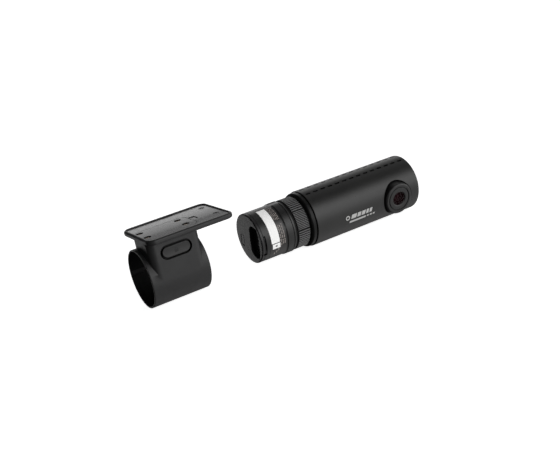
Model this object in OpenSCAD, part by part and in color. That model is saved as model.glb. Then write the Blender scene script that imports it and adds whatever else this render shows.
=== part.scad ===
// Tubular dash camera and its windscreen bracket.
// The origin is the middle of the bracket's adhesive face, +Z points at the glass,
// +X is the way the camera pulls out of the bracket, and the lens looks along -Y.
// The camera is drawn pulled out of the bracket, in line with its sleeve.

/* [Bracket] */
// Length of the plate that sticks to the windscreen
plate_l = 54.6; // [53:0.2:57]
// Width of the plate
plate_w = 42.4; // [41:0.2:44]
// Height of the rim round the adhesive face
rim_h = 0.6; // [0.4:0.1:0.8]
// Distance from the adhesive face to the axis of the tube
axis_drop = 25; // [24.8:0.1:26]
// Length of the sleeve that holds the camera
sleeve_l = 36.4; // [36:0.1:37]
// Outer diameter of the sleeve
sleeve_d = 35.6; // [35.4:0.1:36]
// Bore of the sleeve
bore_d = 33.4; // [33.3:0.05:33.5]

/* [Camera] */
// Overall length of the camera
cam_l = 118.5; // [117:0.5:121]
// Outer diameter of the main body
body_d = 36; // [35.8:0.1:36.4]
// Outer diameter of the barrel that enters the sleeve
barrel_d = 31.6; // [31.4:0.1:31.7]
// Angle of the lens below the horizontal
lens_tilt = 12; // [8:1:16]
// Distance from the connector end to the lens axis
lens_x = 100.3; // [98:0.1:102]
// Height of the lens turret's face above the tube's axis
turret_h = 19.6; // [19.2:0.1:20]
// Gap from the adhesive face's centre to the connector end, camera pulled out
end_x = 42.2; // [38:0.1:46]

/* [Vents] */
// Slots in each row
vent_count = 14; // [10:1:14]
// Distance from one slot to the next
vent_pitch = 5.47; // [5:0.01:5.5]
// Angle of each row from the top of the body
vent_angle = 12.2; // [10:0.2:14]

/* [Controls] */
// Width of the lock button
button_w = 17.2; // [16.4:0.1:17.4]
// Height of the lock button
button_h = 6.2; // [6:0.1:6.4]

/* [Hidden] */
$fn = 96;
tiny = 0.01;
cut = 1;

// Bracket
sleeve_x0 = -29.8;
sleeve_x1 = sleeve_x0 + sleeve_l;
sleeve_r = sleeve_d / 2;
bore_r = bore_d / 2;
plate_r = 5;
plate_t = 2.6;
plate_z0 = -plate_t;
rim_w = 1.7;
neck_x0 = -27.2;
neck_x1 = 4.8;
neck_y1 = 6;
neck_r = 4.45;
keyway_w = 2.6;
keyway_r = 17.2;

// Lock mechanism, heights measured from the tube's axis
button_x = -11.1;
button_z = 15.4;
button_gap = 0.9;
button_rise = 0.35;
button_t = 2.6;
dish_r = 40;
dish_depth = 0.25;
wall_t = 1.2;
room_x0 = -21.6;
room_z = 10.4;
pawl_x = -3.55;
pawl_t = 1;
pawl_w = 5;
pawl_tip_r = 15.95;
pawl_top = 20.6;
cam_y = -3.9;
throat_y = -1.1;
tail_z = 18.4;
tail_t = 1.4;

// Cover over the mechanism
cover_x0 = -25.6;
cover_x1 = 7;
cover_y0 = -15.6;
cover_y1 = 7;
cover_t = 1.5;
screw_x = [-22.8, 1.4];
screw_y = [-8.8, 3.2];
screw_seat = 1.1;

// Camera, distances measured from the connector end
body_r = body_d / 2;
barrel_r = barrel_d / 2;
cap_t = 2;
ridge_x0 = 18.2;
ridge_x1 = 24.2;
ridge_r = 16.35;
catch_x1 = 25.55;
catch_r = 15.25;
ring_x0 = 25.65;
ring_x1 = 34.55;
ring_r = 16.1;
journal_r = 14.9;
running_gap = 0.05;
collar_x0 = 35.2;
collar_x1 = 38.3;
collar_r = 17.5;
body_x0 = 38.8;
body_in_r = 16.4;
front_in_r = 14.4;
rear_in_r = 13.4;
stub_x1 = 46;
vent_x0 = 42.3;
vent_l = 3.4;
vent_w = 1.4;

// Connector end: a is the distance toward the lens side, b the distance up
well_a0 = 1.4;
well_a1 = 12.7;
well_h = 20.6;
jack_a = 6.6;
jack_b = 8.2;
jack_bore_r = 1.75;
jack_nose_r = 2.1;
jack_body_r = 3;
jack_x0 = 1.2;
board_x = 4.7;
board_t = 1.2;
card_x = 2.35;
card_t = 0.9;
card_w = 11;
card_l = 15;
card_a = 14.6;
slit_x1 = 3.4;
slit_angle = 24;
key_a = -8.6;
key_b = -4.1;
key_w = 3.8;
key_h = 7.4;
key_gap = 0.35;

// Knurl on the grip ring, angles from the lens side, upward
rib_h = 0.55;
coarse_pitch = 5.5;
fine_pitch = 3.6;
fine_from = -4;
fine_to = 39;
ring_key_r = 16.95;
ring_key_w = 2.2;

// Lens
turret_r = 10.3;
opening_r = 11.15;
flange_r = 12.2;
groove_r = 7.55;
groove_w = 0.35;
window_r = 4.5;

// Boards inside the body
board_y = 4;
main_x0 = 47;
main_x1 = 112;
main_h = 27;
post_x = [52, 107];
post_b = 10.5;

// A solid of revolution about X, outline points are [radius, x]
module turned(outline) {
    rotate([0, 90, 0]) rotate_extrude() polygon(outline);
}

// A tube about X
module ring_x(x0, x1, r_out, r_in) {
    turned([[r_in, x0], [r_out, x0], [r_out, x1], [r_in, x1]]);
}

// A flat outline in Y and Z, swept from x0 to x1
module slice_x(x0, x1) {
    translate([x0, 0, 0]) rotate([90, 0, 90]) linear_extrude(x1 - x0) children();
}

// A rod about X
module rod_x(x0, x1, r) {
    slice_x(x0, x1) circle(r);
}

// A block between two corners
module block(low, high) {
    translate(low) cube(high - low);
}

// Outline of a rectangle with round corners, centred
module rounded(w, h, r) {
    square([w - 2 * r, h], center = true);
    square([w, h - 2 * r], center = true);
    for (sx = [-1, 1], sy = [-1, 1])
        translate([sx * (w / 2 - r), sy * (h / 2 - r)]) circle(r, $fn = 48);
}

// A wedge of the plane from angle a0 to a1, measured from -Y toward +Z
function lens_side(a, r) = [-r * cos(a), r * sin(a)];
module wedge(a0, a1, r) {
    steps = 8;
    polygon(concat([[0, 0]],
        [for (i = [0:steps]) lens_side(a0 + (a1 - a0) * i / steps, r / cos((a1 - a0) / steps / 2))]));
}

// The frame of the tube's axis, for pieces of the bracket
module on_axis() {
    translate([0, 0, -axis_drop]) children();
}

// The frame of the camera, x from its connector end, lens along -Y
module on_camera() {
    translate([end_x, 0, -axis_drop]) rotate([lens_tilt, 0, 0]) children();
}

// The frame of the lens, z from the tube's axis outward through the lens
module on_lens() {
    on_camera() translate([lens_x, 0, 0]) rotate([90, 0, 0]) children();
}

// A point of the connector end: a toward the lens side, b up
module at_end(a, b) {
    translate([0, -a, b]) children();
}

// A coil spring along Z, its wire a swept tube of eight sides
module coil(r, wire, turns, h) {
    sides = 8;
    per_turn = 16;
    n = turns * per_turn;
    points = [for (i = [0:n], k = [0:sides - 1])
        let (t = 360 * i / per_turn, c = 360 * k / sides, s = r + wire * cos(c))
        [s * cos(t), s * sin(t), wire + (h - 2 * wire) * i / n + wire * sin(c)]];
    walls = [for (i = [0:n - 1], k = [0:sides - 1])
        let (p = i * sides, q = (k + 1) % sides)
        [p + k, p + sides + k, p + sides + q, p + q]];
    polyhedron(points, concat(walls,
        [[for (k = [0:sides - 1]) k]],
        [[for (k = [0:sides - 1]) n * sides + sides - 1 - k]]));
}

// A pan head screw with a cross recess, its seat at z = 0
module pan_screw(shank_r, shank_l, head_r, head_h) {
    difference() {
        union() {
            cylinder(h = head_h, r = head_r, $fn = 32);
            translate([0, 0, -shank_l]) cylinder(h = shank_l, r = shank_r, $fn = 32);
        }
        for (turn = [0, 90])
            rotate(turn) translate([-head_r * 0.62, -0.22, head_h * 0.45])
                cube([head_r * 1.24, 0.44, head_h]);
    }
}

module at_cover_screws() {
    for (x = screw_x, y = screw_y) translate([x, y, 0]) children();
}

// ---- Bracket ----

// The plate, with its raised rim still solid
module plate() {
    translate([0, 0, plate_z0]) linear_extrude(plate_t + rim_h) rounded(plate_l, plate_w, plate_r);
}

// The neck: a round-cornered column whose front is tangent to the sleeve
module neck() {
    translate([(neck_x0 + neck_x1) / 2, (neck_y1 - sleeve_r) / 2, 0])
        linear_extrude(axis_drop + plate_z0 + tiny)
            rounded(neck_x1 - neck_x0, neck_y1 + sleeve_r, neck_r);
}

// The hollow of the neck that holds the button, the pawl and their springs
module mechanism_room() {
    room_top = axis_drop + plate_z0 + tiny;
    difference() {
        union() {
            // behind the button and its flange
            block([room_x0, -sleeve_r + wall_t, room_z], [-1.2, -15, room_top]);
            block([room_x0, -15.1, room_z], [-2.4, -8.2, room_top]);
            // round the pawl
            block([-7.2, -8.3, 18], [-1, 4.2, room_top]);
            // beside the pawl, for the tail
            block([-19, -8.3, tail_z], [-7.1, 1, room_top]);
        }
        rod_x(sleeve_x0, sleeve_x1, sleeve_r);
    }
}

module cover_outline(gap) {
    w = cover_x1 - cover_x0 + 2 * gap;
    h = cover_y1 - cover_y0 + 2 * gap;
    translate([(cover_x0 + cover_x1) / 2, (cover_y0 + cover_y1) / 2]) rounded(w, h, 4.5 + gap);
}

module bracket_housing() color([0.16, 0.16, 0.165]) {
    difference() {
        union() {
            plate();
            on_axis() {
                rod_x(sleeve_x0, sleeve_x1, sleeve_r);
                neck();
            }
        }
        linear_extrude(rim_h + cut)
            rounded(plate_l - 2 * rim_w, plate_w - 2 * rim_w, plate_r - rim_w);
        translate([0, 0, -cover_t]) linear_extrude(cover_t + tiny) cover_outline(0.12);
        // opening under the cover, inside the ledge that carries its screws
        block([-19, -14, plate_z0 - tiny], [-1, 4, -cover_t + tiny]);
        at_cover_screws() translate([0, 0, -3.5]) cylinder(h = 4, r = 0.8, $fn = 32);
        // blind square pocket, slot by the far rim and two shallow round marks
        block([7.4, -5.6, -0.9], [11, 0.9, cut]);
        block([-2.8, 17, plate_z0 - cut], [4.4, 18.6, cut]);
        for (y = [-9, 11]) translate([21, y, -0.15]) cylinder(h = cut, r = 1.9, $fn = 48);
        on_axis() {
            rod_x(sleeve_x0 - cut, sleeve_x1 + cut, bore_r);
            block([sleeve_x0 - cut, 0, -keyway_w / 2], [sleeve_x1 + cut, keyway_r, keyway_w / 2]);
            mechanism_room();
            // button opening
            translate([button_x, -sleeve_r - cut, button_z]) rotate([-90, 0, 0])
                linear_extrude(wall_t + 2 * cut) button_outline(button_gap);
            // slot that lets the pawl into the bore
            block([pawl_x - pawl_t / 2 - 0.15, -pawl_w / 2 - 0.15, 14],
                  [pawl_x + pawl_t / 2 + 0.15, pawl_w / 2 + 0.15, 19]);
        }
    }
}

module mechanism_cover() color([0.2, 0.2, 0.205]) {
    difference() {
        translate([0, 0, -cover_t]) linear_extrude(cover_t) cover_outline(0);
        at_cover_screws() translate([0, 0, -cut - cover_t]) cylinder(h = 4, r = 1.1, $fn = 32);
        at_cover_screws() translate([0, 0, -screw_seat]) cylinder(h = 2, r = 2.1, $fn = 48);
    }
}

module cover_screws() color([0.5, 0.48, 0.45]) {
    at_cover_screws() translate([0, 0, -screw_seat]) pan_screw(0.8, 2.2, 1.8, 0.7);
}

// ---- Lock ----

module button_outline(gap) {
    rounded(button_w + 2 * gap, button_h + 2 * gap, button_h / 2 + gap - tiny);
}

// Cap with a flange behind the wall, and a tail that ends in a wedge under the pawl
module lock_button() color([0.17, 0.17, 0.175]) on_axis() {
    face_y = -sleeve_r - button_rise;
    flange_y = -sleeve_r + wall_t + 0.1;
    difference() {
        union() {
            translate([button_x, face_y, button_z]) rotate([-90, 0, 0])
                linear_extrude(button_t) button_outline(0);
            translate([button_x, flange_y, button_z + 0.3]) rotate([-90, 0, 0])
                linear_extrude(1) rounded(button_w, button_h + 2.4, 3);
            block([-8, flange_y + 0.9, tail_z], [pawl_x + 0.75, cam_y - 2.6, tail_z + tail_t]);
            wedge_tail();
        }
        // finger dish
        translate([button_x, face_y - dish_r + dish_depth, button_z]) rotate([0, 90, 0])
            cylinder(h = 2 * button_w, r = dish_r, center = true);
    }
}

// The inclined end of the button's tail, at 45 degrees
module wedge_tail() {
    slice_x(pawl_x - 2.35, pawl_x + 0.75)
        polygon([[cam_y - 2.7, tail_z], [cam_y + tail_t - 0.3, tail_z],
                 [cam_y + tail_t - 0.3, tail_z + 0.3], [cam_y, tail_z + tail_t],
                 [cam_y - 2.7, tail_z + tail_t]]);
}

// A thin plate that drops through the sleeve, with a 45 degree face that rides on the wedge
module latch_pawl() color([0.62, 0.6, 0.56]) on_axis() {
    slope_z = tail_z + tail_t + 0.12;
    difference() {
        slice_x(pawl_x - pawl_t / 2, pawl_x + pawl_t / 2)
            polygon([[-pawl_w / 2, 0], [-pawl_w / 2, bore_r], [throat_y, bore_r],
                     [throat_y, slope_z - (throat_y - cam_y)], [cam_y, slope_z],
                     [cam_y, pawl_top], [pawl_w / 2, pawl_top], [pawl_w / 2, 0]]);
        rod_x(pawl_x - 2, pawl_x + 2, pawl_tip_r);
    }
}

module button_spring() color([0.75, 0.75, 0.78]) on_axis() {
    translate([-16, -15.2, 17.1]) rotate([-90, 0, 0]) coil(0.95, 0.17, 5, 6.95);
}

module pawl_spring() color([0.75, 0.75, 0.78]) on_axis() {
    translate([pawl_x, 0.6, pawl_top + 0.05]) coil(0.75, 0.13, 3, 2.75);
}

// ---- Grip ring ----

function rib_angles() = concat(
    [for (a = [fine_from:fine_pitch:fine_to]) [a, fine_pitch]],
    [for (a = [fine_to + 1.5:coarse_pitch:fine_from + 356]) [a, coarse_pitch]]);

// Ribbed ring that grips the sleeve's bore and stays still while the camera turns
module grip_ring() color([0.2, 0.2, 0.205]) translate([end_x, 0, -axis_drop]) {
    outline = [for (rib = rib_angles(), edge = [[0.1, 1], [0.25, 0], [0.8, 0], [0.95, 1]])
        lens_side(rib[0] + rib[1] * edge[0], ring_r - rib_h * edge[1])];
    difference() {
        union() {
            slice_x(ring_x0, ring_x1) polygon(outline);
            block([ring_x0 + 0.5, 0, -ring_key_w / 2], [ring_x1 - 0.5, ring_key_r, ring_key_w / 2]);
        }
        rod_x(ring_x0 - cut, ring_x1 + cut, journal_r + running_gap);
    }
}

// ---- Camera shells ----

module well_outline() {
    w = well_a1 - well_a0;
    intersection() {
        translate([-(well_a0 + well_a1) / 2, 0]) rounded(w, well_h, 4.9);
        translate([21 - well_a1, 0]) circle(21);
    }
}

module connector_cap() color([0.18, 0.18, 0.185]) on_camera() {
    edge = 0.7;
    difference() {
        union() {
            turned(concat([[0, 0]],
                [for (t = [0:15:90]) [barrel_r - edge + edge * sin(t), edge - edge * cos(t)]],
                [[barrel_r, cap_t], [0, cap_t]]));
            // register that enters the barrel on the side away from the card
            intersection() {
                ring_x(cap_t - tiny, cap_t + 2, front_in_r - running_gap, front_in_r - 1);
                block([0, 2, -20], [9, 20, 20]);
            }
        }
        slice_x(-cut, cap_t + cut) well_outline();
        slice_x(-cut, cap_t + 4) translate([-key_a, key_b]) rounded(key_w, key_h, 0.8);
        slice_x(cap_t - 0.9, cap_t + 4) translate([-key_a, key_b])
            rounded(key_w + 1.4, key_h + 1.4, 1.2);
        // thumb notch at the lower end of the card slit
        slice_x(cap_t - 1, cap_t + cut)
            difference() {
                wedge(-slit_angle, -slit_angle + 6, 17);
                circle(barrel_r - 1.2);
            }
    }
}

module label_barrel() color([0.15, 0.15, 0.155]) on_camera() {
    difference() {
        union() {
            turned([
                [rear_in_r, cap_t], [barrel_r, cap_t], [barrel_r, ridge_x0 - 0.9],
                [ridge_r - 0.15, ridge_x0 - 0.1], [ridge_r, ridge_x0 + 0.2],
                [ridge_r, ridge_x1 - 1.6], [ridge_r - 0.35, ridge_x1 - 1.45],
                [ridge_r - 0.35, ridge_x1 - 1.2], [ridge_r, ridge_x1 - 1.05],
                [ridge_r, ridge_x1 - 0.15], [ridge_r - 0.15, ridge_x1],
                [catch_r, ridge_x1], [catch_r, catch_x1],
                [journal_r, catch_x1], [journal_r, 28.9], [journal_r - 0.8, 28.9],
                [journal_r - 0.8, 31.1], [journal_r, 31.1], [journal_r, stub_x1],
                [rear_in_r, stub_x1]
            ]);
        }
        rod_x(cap_t - cut, 23, front_in_r);
        // slit for the memory card
        slice_x(cap_t - cut, slit_x1) wedge(-slit_angle, slit_angle, 20);
        // notch that lets the pawl pass when the camera goes in with its vents up
        rotate([-lens_tilt, 0, 0])
            block([ridge_x0 - 1, -pawl_w / 2 - 0.4, barrel_r],
                  [ridge_x1 + tiny, pawl_w / 2 + 0.4, 20]);
    }
}

module rating_label() color([0.13, 0.12, 0.12]) on_camera() {
    intersection() {
        ring_x(5.6, 17, barrel_r + 0.07, barrel_r);
        slice_x(5, 18) wide_wedge(-60, 92, 20);
    }
}

// A wedge made of two halves, for a wide angle
module wide_wedge(a0, a1, r) {
    half = (a0 + a1) / 2;
    wedge(a0, half, r);
    wedge(half, a1, r);
}

module click_spring() color([0.78, 0.78, 0.8]) on_camera() {
    difference() {
        ring_x(29.1, 30.9, journal_r - 0.06, journal_r - 0.7);
        slice_x(28, 32) wedge(160, 200, 20);
    }
}

// Collar between the grip ring and the body, which stops against the sleeve
module collar_ring() color([0.17, 0.17, 0.175]) on_camera() {
    turned([
        [journal_r + 0.02, ring_x1 + 0.1], [journal_r + 0.5, ring_x1 + 0.1],
        [journal_r + 0.5, collar_x0], [16.2, collar_x0], [16.6, collar_x0 + 0.12],
        [17.1, collar_x0 + 0.45], [17.4, collar_x0 + 0.9],
        [collar_r, collar_x0 + 1.4], [collar_r, collar_x1],
        [body_in_r - 0.03, collar_x1], [body_in_r - 0.03, 44], [journal_r + 0.02, 44]
    ]);
}

module vent_slots() {
    for (side = [-1, 1], i = [0:vent_count - 1])
        rotate([side * vent_angle, 0, 0])
            translate([vent_x0 + i * vent_pitch, 0, body_in_r - cut])
                linear_extrude(4) rounded(vent_l, vent_w, vent_w / 2 - tiny);
}

module body_tube() color([0.15, 0.15, 0.155]) on_camera() {
    edge = 1.7;
    lip = 1.1;
    difference() {
        turned(concat(
            [[body_in_r, body_x0], [body_r - 0.35, body_x0], [body_r, body_x0 + 0.35]],
            [for (t = [0:15:90])
                [body_r - edge + edge * cos(t), cam_l - edge + edge * sin(t)]],
            [[body_in_r - lip, cam_l], [body_in_r - lip, cam_l - 1.4],
             [body_in_r, cam_l - 1.4]]));
        vent_slots();
        translate([lens_x, 0, 0]) rotate([90, 0, 0]) cylinder(h = 30, r = opening_r);
    }
}

module far_end_cap() color([0.17, 0.17, 0.175]) on_camera() {
    turned([[0, cam_l - 2.9], [body_in_r - 0.03, cam_l - 2.9], [body_in_r - 0.03, cam_l - 1.45],
            [body_in_r - 1.15, cam_l - 1.45], [body_in_r - 1.15, cam_l - 0.35],
            [body_in_r - 1.4, cam_l - 0.15], [0, cam_l - 0.15]]);
}

// ---- Lens ----

module lens_turret() color([0.16, 0.16, 0.165]) on_lens() {
    edge = 1.3;
    rotate_extrude() polygon(concat(
        [[groove_r, 9.2], [flange_r, 9.2], [flange_r, 10.4], [turret_r, 10.4]],
        [for (t = [0:15:90])
            [turret_r - edge + edge * cos(t), turret_h - edge + edge * sin(t)]],
        [[groove_r + groove_w, turret_h], [groove_r + groove_w, turret_h - 0.7],
         [groove_r, turret_h - 0.7]]));
}

module lens_bezel() color([0.19, 0.19, 0.195]) on_lens() {
    rotate_extrude() polygon([
        [window_r + 0.02, 17.2], [groove_r - 0.04, 17.2], [groove_r - 0.04, turret_h - 0.7],
        [groove_r - 0.04 - 0.25, turret_h - 0.7], [groove_r - 0.29, turret_h - 0.2],
        [groove_r - 0.5, turret_h - 0.05],
        [window_r + 0.5, turret_h - 0.05], [window_r + 0.02, turret_h - 0.45]]);
}

module lens_window() color([0.25, 0.08, 0.1, 0.6]) on_lens() {
    sag = 0.35;
    dome_r = (window_r * window_r + sag * sag) / (2 * sag);
    intersection() {
        translate([0, 0, 17.9]) cylinder(h = 2, r = window_r);
        translate([0, 0, turret_h - 0.15 - dome_r]) sphere(dome_r);
    }
}

module dust_gasket() color([0.08, 0.08, 0.08]) on_lens() {
    translate([0, 0, 10.42]) difference() {
        cylinder(h = 0.8, r = 11.85);
        translate([0, 0, -cut]) cylinder(h = 3, r = turret_r + running_gap);
    }
}

module lens_barrel() color([0.1, 0.1, 0.1]) on_lens() {
    rotate_extrude() polygon([
        [3.4, 4.4], [4.5, 4.4], [4.5, 10], [6.6, 10], [6.6, 16.6], [5.4, 17.1], [4.3, 17.1],
        [4.3, 12.2], [3.4, 12.2]]);
}

// Three glass elements in the lens barrel
module lens_elements() color([0.6, 0.65, 0.7, 0.5]) on_lens() {
    element(16.4, 4.25, 3.2);
    element(11.6, 3.35, 2.2);
    element(6.2, 3.35, 2.2);
}

module element(z, r, thick) {
    dome_r = 9;
    intersection() {
        translate([0, 0, z - thick + 0.4]) cylinder(h = thick, r = r);
        translate([0, 0, z + 0.4 - dome_r]) sphere(dome_r);
    }
}

module lens_holder() color([0.09, 0.09, 0.09]) on_lens() {
    difference() {
        union() {
            translate([-7.2, -7.2, 1.4]) cube([14.4, 14.4, 2.8]);
            translate([0, 0, 4.1]) cylinder(h = 4.9, r = 6);
        }
        translate([-5.2, -5.2, 0]) cube([10.4, 10.4, 3.4]);
        cylinder(h = 12, r = 4.55);
    }
}

module image_sensor() color([0.25, 0.3, 0.28]) on_lens() {
    translate([-4.4, -4.4, 1.22]) cube([8.8, 8.8, 1.3]);
}

module sensor_board() color([0.05, 0.22, 0.12]) on_lens() {
    difference() {
        translate([-9.5, -9.5, 0.2]) cube([19, 19, 1]);
        for (sx = [-1, 1], sy = [-1, 1])
            translate([sx * 8.2, sy * 8.2, -cut]) cylinder(h = 4, r = 0.7, $fn = 32);
    }
}

// ---- Inside the body ----

module at_posts() {
    for (x = post_x, side = [-1, 1]) translate([x, 0, side * post_b]) rotate([90, 0, 0]) children();
}

// Half-round carrier behind the main board, with four screw posts
module inner_chassis() color([0.22, 0.22, 0.23]) on_camera() {
    difference() {
        union() {
            intersection() {
                ring_x(46.5, 114, body_in_r - 0.1, body_in_r - 1.3);
                block([46, 6, -20], [115, 20, 20]);
            }
            for (x = [46.5, 104, 112.8])
                slice_x(x, x + 1.2) intersection() {
                    circle(body_in_r - 0.4);
                    translate([11, 0]) square([10, 30], center = true);
                }
            intersection() {
                at_posts() translate([0, 0, -13.5]) cylinder(h = 13.5 - board_y - 1.3, r = 1.9, $fn = 48);
                rod_x(40, 115, body_in_r - 0.4);
            }
        }
        at_posts() translate([0, 0, -9.6]) cylinder(h = 5, r = 0.75, $fn = 32);
    }
}

module main_board() color([0.05, 0.25, 0.13]) on_camera() {
    difference() {
        block([main_x0, board_y, -main_h / 2], [main_x1, board_y + board_t, main_h / 2]);
        at_posts() translate([0, 0, -board_y - 3]) cylinder(h = 6, r = 1, $fn = 32);
    }
}

module board_screws() color([0.7, 0.7, 0.72]) on_camera() {
    at_posts() translate([0, 0, -board_y]) pan_screw(0.7, 4.6, 1.6, 0.9);
}

module processor() color([0.1, 0.1, 0.11]) on_camera() {
    block([66, board_y + board_t, -6.5], [79, board_y + board_t + 1.1, 6.5]);
}

module thermal_pad() color([0.55, 0.65, 0.75]) on_camera() {
    block([66.5, board_y + board_t + 1.1, -6], [78.5, board_y + board_t + 1.9, 6]);
}

// Aluminium plate that rests on the thermal pad
module heat_spreader() color([0.75, 0.75, 0.77]) on_camera() {
    pad_y = board_y + board_t + 1.9;
    block([56, pad_y, -7.5], [102, pad_y + 0.8, 7.5]);
}

module memory_chips() color([0.1, 0.1, 0.11]) on_camera() {
    block([84, board_y + board_t, -5.5], [93, board_y + board_t + 0.9, 5.5]);
    block([54, board_y + board_t, -4], [62, board_y + board_t + 0.9, 4]);
}

module gps_antenna() color([0.82, 0.8, 0.74]) on_camera() {
    block([66, -8, 9.2], [80, board_y - 0.02, 11.4]);
    block([72.6, -3, 11.4], [73.4, -2.2, 12.2]);
}

module wireless_module() color([0.68, 0.68, 0.7]) on_camera() {
    block([68, board_y - 1.8, -12.5], [83, board_y, -4]);
}

module microphone() color([0.72, 0.72, 0.7]) on_camera() {
    translate([88, board_y - 1.4, 10]) rotate([-90, 0, 0]) cylinder(h = 1.4, r = 2, $fn = 48);
}

module speaker() color([0.2, 0.2, 0.2]) on_camera() {
    translate([59.5, board_y, -6]) rotate([90, 0, 0]) {
        cylinder(h = 3.2, r = 6.2);
        translate([0, 0, 3.2]) cylinder(h = 0.6, r = 4.6);
    }
}

module backup_capacitors() color([0.12, 0.16, 0.3]) on_camera() {
    for (a = [3.2, 11.2])
        translate([64.5, -a + board_y - 1.6, a > 10 ? 1 : 3]) rotate([0, 90, 0])
            cylinder(h = 20, r = 3.9);
}

// Ribbon from the connector board to the main board
module flat_cable() color([0.8, 0.72, 0.5]) on_camera() {
    block([board_x + board_t, board_y - 0.35, -5], [main_x0 + 3, board_y - 0.05, 5]);
}

// ---- Connector end ----

module connector_board() color([0.05, 0.22, 0.12]) on_camera() {
    difference() {
        rod_x(board_x, board_x + board_t, front_in_r - 0.2);
        for (side = [-1, 1])
            slice_x(board_x - cut, board_x + 3) translate([-jack_a, side * jack_b])
                circle(jack_body_r + 0.1);
    }
}

module socket_body(depth) {
    difference() {
        union() {
            rod_x(jack_x0, board_x - 0.05, jack_nose_r);
            rod_x(board_x - 0.05, 11, jack_body_r);
        }
        rod_x(jack_x0 - cut, jack_x0 + depth, jack_bore_r);
    }
}

module power_jack() color([0.08, 0.08, 0.08]) on_camera() at_end(jack_a, jack_b) {
    socket_body(8);
}

module power_pin() color([0.8, 0.75, 0.6]) on_camera() at_end(jack_a, jack_b) {
    rod_x(jack_x0 + 1, jack_x0 + 8, 0.5);
}

module video_jack() color([0.08, 0.08, 0.08]) on_camera() at_end(jack_a, -jack_b) {
    socket_body(8);
}

// Metal shell round the card, open toward the lens side
module card_socket() color([0.35, 0.35, 0.36]) on_camera() {
    half = card_w / 2 + 0.4;
    difference() {
        block([cap_t + 0.05, -12.9, -half], [board_x - 0.06, 1.6, half]);
        block([card_x - 0.05, -14, -card_w / 2 - 0.08],
              [card_x + card_t + 0.08, -card_a + card_l + 0.3, card_w / 2 + 0.08]);
        // stamped windows in the shell's face
        for (a = [4.5, 9]) block([cap_t, -a, -3.2], [card_x, -a + 1.6, -1.6]);
    }
}

module tact_switch() color([0.6, 0.6, 0.58]) on_camera() at_end(key_a, key_b) {
    rod_x(3.3, 3.9, 1);
    block([3.8, -2, -2.4], [board_x, 2, 2.4]);
}

module memory_card() color([0.07, 0.07, 0.075]) on_camera() {
    slice = card_w / 2;
    difference() {
        block([card_x, -card_a, -slice], [card_x + card_t, -card_a + card_l, slice]);
        // the step in one side of the card
        block([card_x - cut, -card_a + 7.5, slice - 1.1], [card_x + 3, -card_a + card_l + cut, slice + cut]);
    }
}

module function_button() color([0.19, 0.19, 0.195]) on_camera() {
    slice_x(0.08, cap_t - 0.75) translate([-key_a, key_b])
        rounded(key_w - 2 * key_gap, key_h - 2 * key_gap, 0.5);
    slice_x(cap_t - 0.8, cap_t - 0.1) translate([-key_a, key_b])
        rounded(key_w + 0.9, key_h + 0.9, 1);
    slice_x(cap_t - 0.15, 2.7) translate([-key_a, key_b]) circle(1, $fn = 48);
}

bracket_housing();
mechanism_cover();
cover_screws();
button_spring();
pawl_spring();
lock_button();
latch_pawl();
grip_ring();
connector_cap();
label_barrel();
rating_label();
click_spring();
collar_ring();
body_tube();
far_end_cap();
inner_chassis();
lens_turret();
lens_bezel();
lens_window();
dust_gasket();
lens_barrel();
lens_elements();
lens_holder();
image_sensor();
sensor_board();
main_board();
board_screws();
processor();
thermal_pad();
heat_spreader();
memory_chips();
gps_antenna();
wireless_module();
microphone();
speaker();
backup_capacitors();
flat_cable();
connector_board();
card_socket();
power_jack();
power_pin();
video_jack();
tact_switch();
memory_card();
function_button();
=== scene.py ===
import math
import random

import bmesh
import bpy
from mathutils import Matrix, Vector


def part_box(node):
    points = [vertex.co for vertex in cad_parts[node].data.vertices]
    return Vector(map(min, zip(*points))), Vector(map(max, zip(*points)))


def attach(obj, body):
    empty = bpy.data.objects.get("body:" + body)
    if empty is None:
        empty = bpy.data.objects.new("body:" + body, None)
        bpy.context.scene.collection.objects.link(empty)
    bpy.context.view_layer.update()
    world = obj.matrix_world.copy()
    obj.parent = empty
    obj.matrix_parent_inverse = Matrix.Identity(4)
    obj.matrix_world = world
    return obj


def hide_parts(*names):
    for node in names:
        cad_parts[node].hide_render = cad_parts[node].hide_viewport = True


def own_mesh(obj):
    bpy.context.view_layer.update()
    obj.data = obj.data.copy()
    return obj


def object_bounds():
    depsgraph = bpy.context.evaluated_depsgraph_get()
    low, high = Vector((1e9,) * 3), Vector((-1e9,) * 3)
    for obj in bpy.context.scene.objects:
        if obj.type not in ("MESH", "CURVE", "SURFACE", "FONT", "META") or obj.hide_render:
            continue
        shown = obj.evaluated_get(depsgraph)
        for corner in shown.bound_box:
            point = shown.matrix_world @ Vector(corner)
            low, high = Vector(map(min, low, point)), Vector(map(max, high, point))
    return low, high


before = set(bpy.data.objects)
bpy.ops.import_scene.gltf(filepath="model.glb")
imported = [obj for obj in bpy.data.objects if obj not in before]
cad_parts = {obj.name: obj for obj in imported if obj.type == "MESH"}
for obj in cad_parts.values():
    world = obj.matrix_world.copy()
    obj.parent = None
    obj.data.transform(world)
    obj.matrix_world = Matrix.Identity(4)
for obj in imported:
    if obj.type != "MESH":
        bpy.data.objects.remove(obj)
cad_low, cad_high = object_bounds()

# Sizes are in millimetres until a mesh is made, as in the CAD model.
MM = 0.001
scene = bpy.context.scene


def box_mm(node):
    """Lowest and highest corner of a CAD node, in millimetres."""
    low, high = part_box(node)
    return low / MM, high / MM


# ---- Frames of the bracket and the camera, worked out from the CAD nodes ----

ring_low, ring_high = box_mm("grip_ring")
axis_z = (ring_low.z + ring_high.z) / 2
end_x = box_mm("connector_cap")[0].x
cam_l = box_mm("body_tube")[1].x - end_x
window_mid = sum(box_mm("lens_window"), Vector()) / 2
lens_x = window_mid.x - end_x
tilt = math.atan2(axis_z - window_mid.z, -window_mid.y)

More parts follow.
